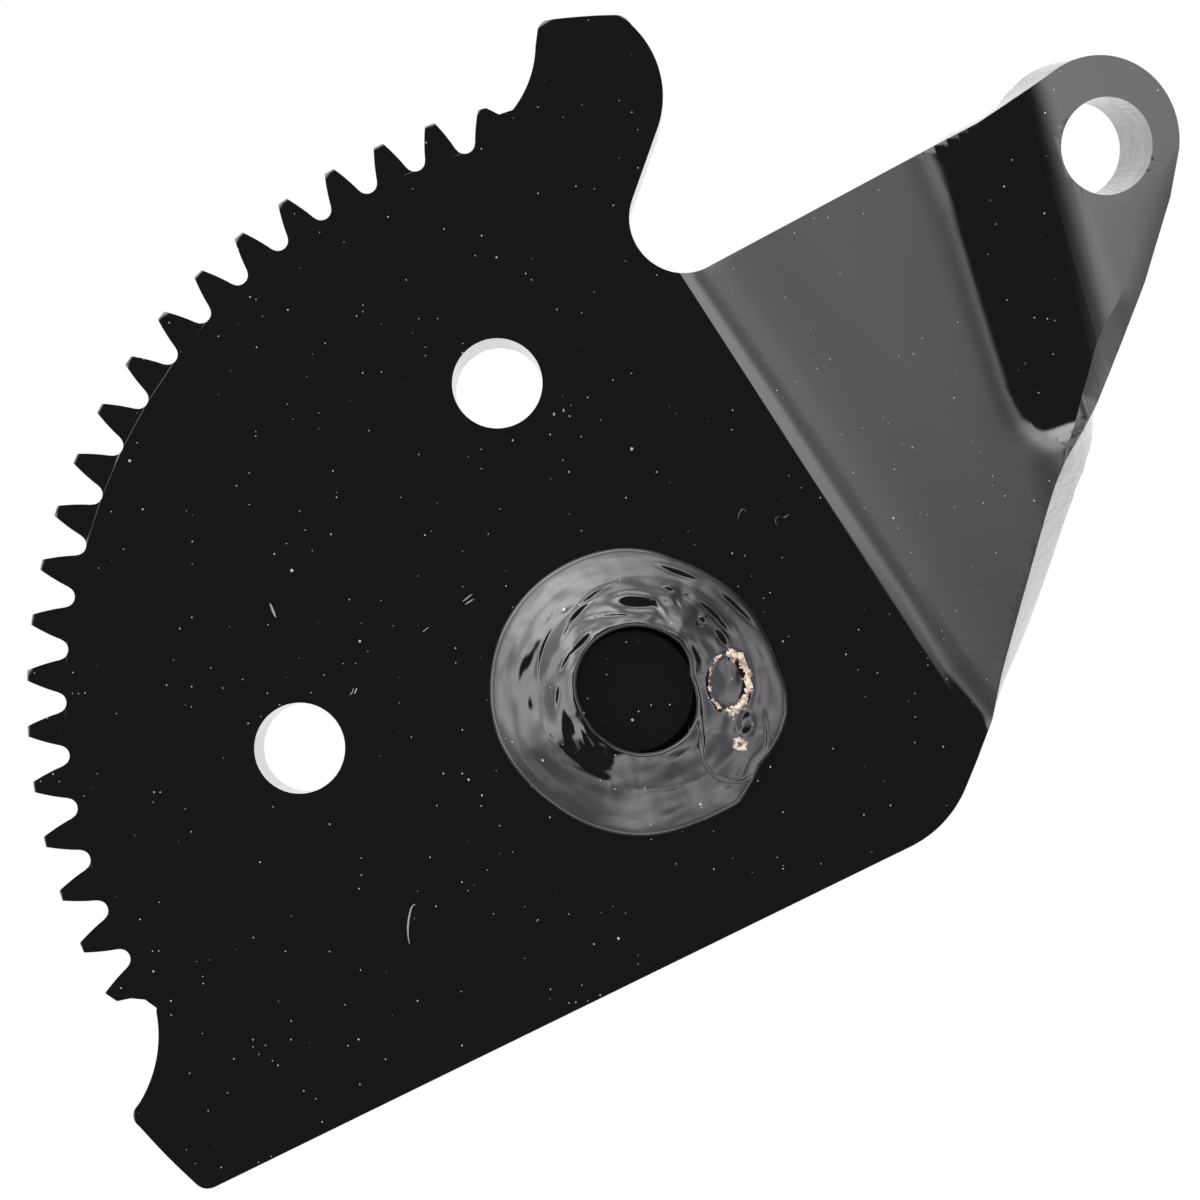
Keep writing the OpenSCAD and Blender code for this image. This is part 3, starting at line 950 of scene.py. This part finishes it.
@dataclass
class WeldBead(Part):
    """Fillet of weld metal round the shaft's head, laid in two runs, with a lapped end and its crater."""

    name: str = "weld"
    record_slot: str = "black_paint_weld"
    floor: float = PLATE_THICKNESS - 0.05
    head_top: float = PLATE_THICKNESS + 1.9
    around: int = 480
    outwards: int = 64
    toe_height: float = 0.36
    rim_height: float = 3.55
    highest: float = 4.15
    bulge: float = 0.12
    lap_centre: Vector = field(default_factory=lambda: Vector((12.35, -6.9)))
    lap_radius: float = 4.25
    crater_centre: Vector = field(default_factory=lambda: Vector((11.7, 1.08)))
    blob_centre: Vector = field(default_factory=lambda: Vector((13.0, -6.4)))
    outer_edge: Pairs = (
        (-180, 17.45), (-160, 17.4), (-140, 17.05), (-125, 16.95), (-105, 17.3), (-85, 17.7), (-65, 17.9),
        (-55, 18.3), (-46, 18.85), (-42, 18.6), (-36, 18.3), (-30, 17.95), (-24, 18.4), (-15, 18.9),
        (-8, 19.1), (0, 18.8), (11, 18.0), (25, 17.6), (40, 17.55), (57, 17.1), (72, 17.0), (82, 17.35),
        (95, 17.6), (115, 17.6), (135, 17.65), (155, 17.65), (170, 17.5), (180, 17.45),
    )
    inner_edge: Pairs = (
        (-180, 6.65), (-165, 6.4), (-145, 6.3), (-120, 6.5), (-100, 7.0), (-80, 7.5), (-60, 7.9), (-45, 8.1),
        (-38, 8.2), (-25, 8.1), (-10, 7.75), (5, 7.3), (15, 7.05), (30, 7.7), (45, 7.95), (65, 7.85),
        (90, 7.75), (105, 7.6), (125, 7.45), (145, 7.2), (165, 6.9), (180, 6.65),
    )
    valley: Pairs = (
        (-180, 11.6), (-155, 11.6), (-132, 10.9), (-105, 11.3), (-80, 12.1), (-55, 13.3), (-20, 14.6),
        (20, 15.2), (60, 14.8), (98, 13.9), (128, 12.3), (150, 11.8), (180, 11.6),
    )
    flats: tuple[Flat, ...] = (
        Flat((0.2, 10.9), 2.9, 1.05, -5),
        Flat((3.3, 9.9), 1.3, 0.5, -50),
        Flat((-3.3, 9.2), 3.7, 0.26, 6, 0.03),
        Flat((-5.3, 11.4), 3.2, 0.34, 40, 0.05),
        Flat((-7.2, 8.9), 3.0, 0.5, 52, 0.05),
        Flat((-11.15, 4.6), 3.8, 0.3, 76, 0.05),
        Flat((4.4, 12.5), 0.7, 0.4, -25),
        Flat((6.6, 11.8), 0.7, 0.2, -15),
        Flat((5.6, 10.7), 0.7, 0.28, -60),
        Flat((8.4, 8.6), 0.6, 0.75, -20),
        Flat((10.2, 9.1), 2.7, 0.5, -46, 0.03),
        Flat((10.9, 6.5), 1.3, 0.6, -55),
        Flat((-8.3, 3.4), 1.4, 0.28, 62),
        Flat((-6.2, 6.0), 1.7, 0.5, 48),
        Flat((-9.2, -0.8), 1.6, 0.35, 84),
        Flat((-5.4, -6.3), 1.8, 0.38, -62),
        Flat((13.9, -3.9), 1.0, 1.4, 0),
        Flat((14.3, -0.3), 1.6, 0.4, 80),
        Flat((13.4, 10.0), 3.4, 0.7, -42, 0.02),
        Flat((5.5, 14.6), 2.6, 0.5, -20),
    )

    def height(self, radius: float, angle: float) -> float:
        """Height of the fillet above the plate, before its marks.

        Args:
            radius: distance from the shaft's axis.
            angle: angle round it, in degrees from -180 to 180.

        Returns:
            The height in millimetres.
        """
        outer = lerp_table(self.outer_edge, angle)
        inner = lerp_table(self.inner_edge, angle)
        valley = lerp_table(self.valley, angle)
        outer_run = outer - valley
        inner_run = valley - inner
        fall = self.head_top - PLATE_THICKNESS
        from_toe = min(outer - radius, outer_run)
        slope = 0.285 + 0.12 * (smoothstep(-172, -150, angle) - smoothstep(-106, -88, angle))
        rise = self.toe_height * (1 - math.exp(-from_toe / 0.16))
        rise += from_toe * slope * (1 + self.bulge - self.bulge * from_toe / outer_run)
        foot = self.toe_height + outer_run * slope
        if radius >= valley:
            return rise
        past = valley - radius
        crest = max(self.rim_height - foot, 0.4)
        lip = inner_run - 0.45
        if past < lip:
            t = past / lip
            return foot + crest * ((1 + self.bulge) * t - self.bulge * t * t)
        t = (past - lip) / (inner_run - lip)
        return fall + (foot + crest - fall) * math.sqrt(max(0.0, 1 - t * t))

    def height_at(self, p: Vector) -> float:
        """Height of the fillet at a point, before its marks."""
        return self.height(p.length, bearing(p))

    def waves(self, p: Vector, radius: float, angle: float) -> float:
        """Small unevenness of the weld, drawn out along its run and rougher at the top."""
        turn = math.radians(angle)
        rough = smoothstep(-5, 45, angle) * (1 - smoothstep(110, 175, angle))
        inside = smoothstep(0, 1.5, lerp_table(self.valley, angle) - radius)
        runs = noise.noise(Vector((radius * 0.6, math.cos(turn) * 3.0, math.sin(turn) * 3.0)))
        fine = noise.noise(Vector((radius * 1.6, math.cos(turn) * 6.0, 4 + math.sin(turn) * 6.0)))
        lumps = noise.noise(Vector((p.x * 0.5, p.y * 0.5, 5.5)))
        ripple = (0.09 + 0.04 * inside) * runs + (0.012 + 0.035 * inside * rough) * fine
        return ripple + (0.05 + 0.09 * inside * rough) * lumps

    def lap(self, p: Vector) -> float:
        """Extra height of the bead's lapped end, 0 outside it."""
        away = p - self.lap_centre
        if away.y < 0:
            inside = self.lap_radius - away.length
        else:
            inside = self.lap_radius - abs(away.x + 0.035 * away.y * away.y * 0.5)
        return 0.62 * smoothstep(-0.05, 0.5, inside) * (1 - smoothstep(1.5, 5.5, away.y))

    def crater(self, p: Vector) -> float:
        """Closeness to the crater's rim: 1 on it, 0 away from it."""
        away = p - self.crater_centre
        ellipse = math.hypot(away.x / 2.45, away.y / 3.45)
        width = 0.30 if away.x > 0 else 0.14
        return 1 - min(1.0, abs(ellipse - 1) / width)

    def surface(self, p: Vector) -> float:
        """Height of the whole weld above the plate at a point."""
        radius = p.length
        angle = bearing(p)
        outer = lerp_table(self.outer_edge, angle)
        inner = lerp_table(self.inner_edge, angle)
        rise = self.height(radius, angle)
        body = smoothstep(0, 1.6, outer - radius) * smoothstep(0.1, 0.9, radius - inner)
        for flat in self.flats:
            share = flat.share(p) * body
            if share > 0:
                rise += (self.height_at(flat.source(p)) - rise) * share
        rise += self.waves(p, radius, angle) * body
        rise += self.lap(p) * body
        away = p - self.crater_centre
        rise += 0.10 * self.crater(p)
        rise -= 0.30 * max(0.0, 1 - math.hypot(away.x / 2.4, away.y / 3.4)) ** 0.5
        return min(max(rise, 0.0), self.highest)

    def is_scale(self, p: Vector) -> bool:
        """Whether a point of the weld is bare: the broken rim of the crater and one blob."""
        coarse = noise.noise(Vector((p.x * 1.6, p.y * 1.6, 9.1)))
        grain = coarse + 0.5 * noise.noise(Vector((p.x * 5, p.y * 5, 2.2)))
        if p.x - self.crater_centre.x > -0.3:
            share = self.crater(p) + 0.55 * grain - 0.22
        else:
            share = self.crater(p) + 0.9 * grain - 0.55
        blob = (p - self.blob_centre).length
        return share > 0.25 or 0.28 < blob + 0.3 * grain < 0.85

    def build(self, paint: "GlossPaint", scale: BareScale) -> bpy.types.Object:
        """Spin a plain ring and shape it into the weld."""
        bm = bmesh.new()
        order = bm.verts.layers.int.new("row")
        rows = [(7.0 + 11.0 * i / self.outwards, self.floor + 1) for i in range(self.outwards + 1)]
        rim = [(18.0, self.floor), (HEAD_RADIUS, self.floor), (HEAD_RADIUS, self.head_top - 0.9)]
        loop = [bm.verts.new((radius, 0, height)) for radius, height in rows + rim]
        edges = [bm.edges.new((a, b)) for a, b in zip(loop, loop[1:] + loop[:1])]
        top = len(rows)
        for i, v in enumerate(loop):
            v[order] = i
        bmesh.ops.spin(
            bm, geom=loop + edges, cent=(0, 0, 0), axis=(0, 0, 1), dvec=(0, 0, 0),
            angle=2 * math.pi, steps=self.around, use_merge=True, use_duplicate=False,
        )
        for v in bm.verts:
            angle = bearing(v.co)
            outer = lerp_table(self.outer_edge, angle)
            inner = lerp_table(self.inner_edge, angle)
            row = v[order]
            if row < top:
                share = row / self.outwards
                share += 0.05 * math.sin(2 * math.pi * share)
                share -= 0.05 * math.sin(2 * math.pi * share) ** 3
                radius = inner + (outer - inner) * min(1.0, max(0.0, share))
                p = polar(radius, angle)
                under_head = self.head_top - PLATE_THICKNESS + 0.02
                lowest = under_head if radius < HEAD_RADIUS - 0.3 else 0.02
                v.co = (p.x, p.y, PLATE_THICKNESS + max(self.surface(p), lowest))
            elif row == top:
                p = polar(outer, angle)
                v.co = (p.x, p.y, self.floor)
        bmesh.ops.recalc_face_normals(bm, faces=bm.faces[:])
        for face in bm.faces:
            middle = face.calc_center_median()
            face.material_index = 1 if middle.z > self.floor + 1.2 and self.is_scale(middle.xy) else 0
        return self.place(bm, [paint.material(), scale.material()], ["weld_bead"])


@dataclass(frozen=True)
class Stroke:
    """A thin mark that follows a path on the flat sheet and tapers at both ends."""

    path: Pairs
    width: float
    height: float = 0.03

    def at(self, share: float) -> tuple[Vector, Vector]:
        """Point and direction on the path at a share of its length."""
        points = [Vector(p) for p in self.path]
        place = share * (len(points) - 1)
        i = min(int(place), len(points) - 2)
        step = points[i + 1] - points[i]
        return points[i] + step * (place - i), step.normalized()


@dataclass
class Marks(Part):
    """Scratches, caught fibres and grains in the paint of the front face."""

    name: str = "marks"
    record_slot: str = "black_paint"
    strokes: tuple[Stroke, ...] = (
        Stroke(
            (
                (-26.7, -26.0), (-26.98, -26.4), (-27.25, -27.4), (-27.4, -28.6), (-27.4, -29.6),
                (-27.2, -30.9),
            ),
            0.11,
        ),
        Stroke(((-26.75, -26.05), (-26.5, -26.0)), 0.08),
        Stroke(((-26.6, -27.6), (-26.62, -27.8)), 0.05),
        Stroke(((-34.1, 0.4), (-34.3, -0.2), (-34.55, -0.45)), 0.06),
        Stroke(((-33.7, 0.4), (-34.0, -0.35)), 0.09),
        Stroke(((-19.6, 11.9), (-20.8, 10.95)), 0.08),
        Stroke(((-19.4, 11.3), (-20.5, 10.6)), 0.08),
        Stroke(((-44.4, 10.8), (-44.05, 9.9), (-43.65, 9.0)), 0.14),
        Stroke(((12.9, 20.95), (13.05, 21.7), (13.35, 22.25), (13.65, 22.3), (13.95, 22.0)), 0.025, 0.04),
        Stroke(((19.15, 21.7), (18.8, 21.35), (18.4, 21.3)), 0.035, 0.05),
        Stroke(((18.1, 21.5), (17.6, 21.2), (17.5, 20.7), (17.85, 20.4)), 0.02, 0.03),
        Stroke(((-25.7, 7.25), (-24.9, 7.85)), 0.05),
        Stroke(((-9.75, 33.97), (-9.45, 33.97)), 0.22, 0.12),
        Stroke(((-8.55, 34.45), (-8.3, 34.45)), 0.19, 0.10),
        Stroke(((-7.57, 35.07), (-7.47, 35.07)), 0.10, 0.07),
        Stroke(((37.95, -6.65), (38.0, -6.9)), 0.12, 0.07),
        Stroke(((36.1, 3.25), (36.2, 3.15)), 0.09, 0.06),
        Stroke(((38.1, 6.5), (38.2, 6.4)), 0.09, 0.06),
        Stroke(((28.4, 22.7), (28.65, 22.55), (28.9, 22.75)), 0.05, 0.05),
        Stroke(((-54.3, -55.7), (-54.2, -55.75)), 0.1, 0.06),
        Stroke(((-17.7, 19.3), (-17.6, 19.2)), 0.1, 0.06),
        Stroke(((1.5, 2.6), (1.6, 3.2)), 0.03, 0.03),
    )

    def build(self, plate: SectorPlate, lint: "Lint") -> bpy.types.Object:
        """Stretch a small ball along each stroke's path, and lay it on the bent plate."""
        bm = bmesh.new()
        for stroke in self.strokes:
            for v in bmesh.ops.create_icosphere(bm, subdivisions=3, radius=1.0)["verts"]:
                point, step = stroke.at((v.co.x + 1) / 2)
                across = Vector((-step.y, step.x)) * (v.co.y * stroke.width)
                over = PLATE_THICKNESS + v.co.z * stroke.height
                v.co = plate.bent((point + across).to_3d() + Vector((0, 0, over)))
        return self.place(bm, [lint.material()], [])


@dataclass(frozen=True)
class Lint:
    """Pale dust and fibre."""

    name: str = "pale_lint"
    colour: tuple[float, float, float] = (0.24, 0.24, 0.23)

    def material(self) -> bpy.types.Material:
        """Plain pale grey."""
        return plain_material(self.name, self.colour, 0.6)[0]


@dataclass(frozen=True)
class PivotShaft:
    """The shaft, whose solid keeps its shape and only gets its paint."""

    node: str = "pivot_shaft"

    def dress(self, paint: GlossPaint) -> None:
        """Paint the solid."""
        mesh = bpy.data.objects[self.node].data
        mesh.materials.clear()
        mesh.materials.append(paint.material())


@dataclass
class Studio:
    """White table, light tent and camera.

    The tent's tables say, by the angle round the part, how strong it is, and where its glow starts and
    is full, counted from straight up. `bands` says how strong it is by the angle from straight up.
    """

    camera_place: tuple[float, float, float] = (-3.48, -0.34, 339.955)
    focal_px: float = 2700.0
    frame_px: float = 1200.0
    straight_down_px: tuple[float, float] = (604.0, 694.0)
    table_height: float = -60.0
    table_size: float = 4000.0
    tent: Pairs = (
        (-180, 1.05), (-165, 1.0), (-156, 0.88), (-153, 0.83), (-148, 0.73), (-143, 0.52), (-138, 0.45),
        (-128, 0.55), (-115, 0.45), (-100, 0.6), (-88, 0.8), (-70, 0.5), (-55, 0.72), (-40, 0.62),
        (-30, 0.5), (-12, 0.75), (5, 0.6), (18, 0.66), (35, 0.4), (48, 0.3), (58, 0.5), (70, 0.95),
        (90, 1.05), (105, 1.35), (125, 1.8), (148, 1.5), (165, 1.15), (180, 1.05),
    )
    bands: Pairs = (
        (0, 0.5), (24, 0.5), (34, 0.5), (38, 0.42), (42, 0.33), (46, 0.25), (50, 0.2), (58, 0.19),
        (66, 0.21), (70, 0.22), (72, 0.235), (73, 0.245), (74, 0.26), (75, 0.28), (78, 0.34),
        (82, 0.42), (90, 0.45), (180, 0.45),
    )
    edge_low: Pairs = (
        (-180, 20), (-156, 22.5), (-150, 22.5), (-146, 22.5), (-142, 23), (-138, 26), (-132, 30),
        (-115, 30), (-100, 22), (-50, 20), (-10, 20), (60, 19), (120, 19), (180, 20),
    )
    edge_high: Pairs = (
        (-180, 26), (-156, 25.5), (-150, 26), (-146, 31), (-142, 34), (-138, 39), (-132, 41),
        (-115, 38), (-100, 30), (-50, 32), (-10, 33), (60, 28), (120, 26), (180, 26),
    )
    tent_strength: float = 6.0
    zenith: float = 0.05

    def camera(self) -> None:
        """Set the camera as the photograph was taken: from above, tilted by two degrees."""
        data = bpy.data.cameras.new("camera")
        data.sensor_width = 36.0
        data.lens = 36.0 * self.focal_px / self.frame_px
        data.clip_start = 0.01
        data.clip_end = 20.0
        camera = bpy.data.objects.new("camera", data)
        middle = self.frame_px / 2
        down_x, down_y = self.straight_down_px
        down = Vector((down_x - middle, middle - down_y, -self.focal_px)).normalized()
        right = (Vector((1, 0, 0)) - down * down.x).normalized()
        up = right.cross(down)
        turn = Matrix((right, up, -down))
        camera.matrix_world = Matrix.Translation(Vector(self.camera_place) * MM) @ turn.to_4x4()
        bpy.context.collection.objects.link(camera)
        bpy.context.scene.camera = camera

    def table(self) -> None:
        """Lay the table under the shaft's end, plain white to the camera and in the paint."""
        bm = bmesh.new()
        bmesh.ops.create_grid(bm, x_segments=1, y_segments=1, size=self.table_size / 2 * MM)
        bmesh.ops.translate(bm, vec=(0, 0, self.table_height * MM), verts=bm.verts)
        table = linked("table", bm)
        material, shader = plain_material("white_table", (0.9, 0.9, 0.9), 0.9)
        desk = NodeDesk(material)
        glow = desk.nodes.new("ShaderNodeEmission")
        seen = desk.nodes.new("ShaderNodeLightPath").outputs
        mix = desk.nodes.new("ShaderNodeMixShader")
        desk.link(desk.math("MAXIMUM", seen["Is Camera Ray"], seen["Is Glossy Ray"]), mix.inputs[0])
        desk.link(shader.outputs[0], mix.inputs[1])
        desk.link(glow.outputs[0], mix.inputs[2])
        desk.link(mix.outputs[0], desk.nodes["Material Output"].inputs["Surface"])
        table.data.materials.append(material)

    def light(self) -> None:
        """Surround the part with a light tent that is dark round the camera.

        The tent is brightest at the left and the top, and dim at the right.
        """
        world = bpy.data.worlds.new("light_tent")
        bpy.context.scene.world = world
        world.use_nodes = True
        desk = NodeDesk(world)
        background = desk.nodes["Background"]
        split = desk.nodes.new("ShaderNodeSeparateXYZ")
        desk.link(desk.nodes.new("ShaderNodeTexCoord").outputs["Generated"], split.inputs[0])
        from_zenith = desk.math("ARCCOSINE", split.outputs["Z"], 0.0)
        height = desk.math("DIVIDE", from_zenith, math.pi)
        round_part = desk.math("ARCTAN2", split.outputs["Y"], split.outputs["X"])
        turn = desk.math("ADD", desk.math("DIVIDE", round_part, 2 * math.pi), 0.5)
        azimuths = [(degrees / 360 + 0.5, value) for degrees, value in self.tent]
        heights = [(degrees / 180, value) for degrees, value in self.bands]
        low = [(degrees / 360 + 0.5, value / 180) for degrees, value in self.edge_low]
        high = [(degrees / 360 + 0.5, value / 180) for degrees, value in self.edge_high]
        glow = desk.math("MULTIPLY", desk.curve(turn, azimuths), desk.curve(height, heights))
        wall = desk.ramp(height, desk.curve(turn, low), desk.curve(turn, high))
        glow = desk.math("MULTIPLY", glow, desk.math("MULTIPLY", wall, self.tent_strength))
        glow = desk.math("ADD", glow, self.zenith)
        seen = desk.nodes.new("ShaderNodeLightPath").outputs["Is Camera Ray"]
        desk.link(desk.math("MAXIMUM", glow, seen), background.inputs["Strength"])
        background.inputs["Color"].default_value = (1.0, 0.975, 1.02, 1)
        bpy.context.scene.view_settings.view_transform = "Standard"

    def build(self) -> None:
        """Set the table, the light tent and the camera."""
        self.table()
        self.light()
        self.camera()


def main() -> None:
    """Dress the sector gear, and set the scene."""
    logging.basicConfig(level=logging.INFO, format="%(name)s: %(message)s")
    paint = GlossPaint()
    plate = SectorPlate()
    plate.build(paint)
    WeldBead().build(paint, BareScale())
    Marks().build(plate, Lint())
    PivotShaft().dress(paint)
    Studio().build()


if __name__ == "__main__":
    main()
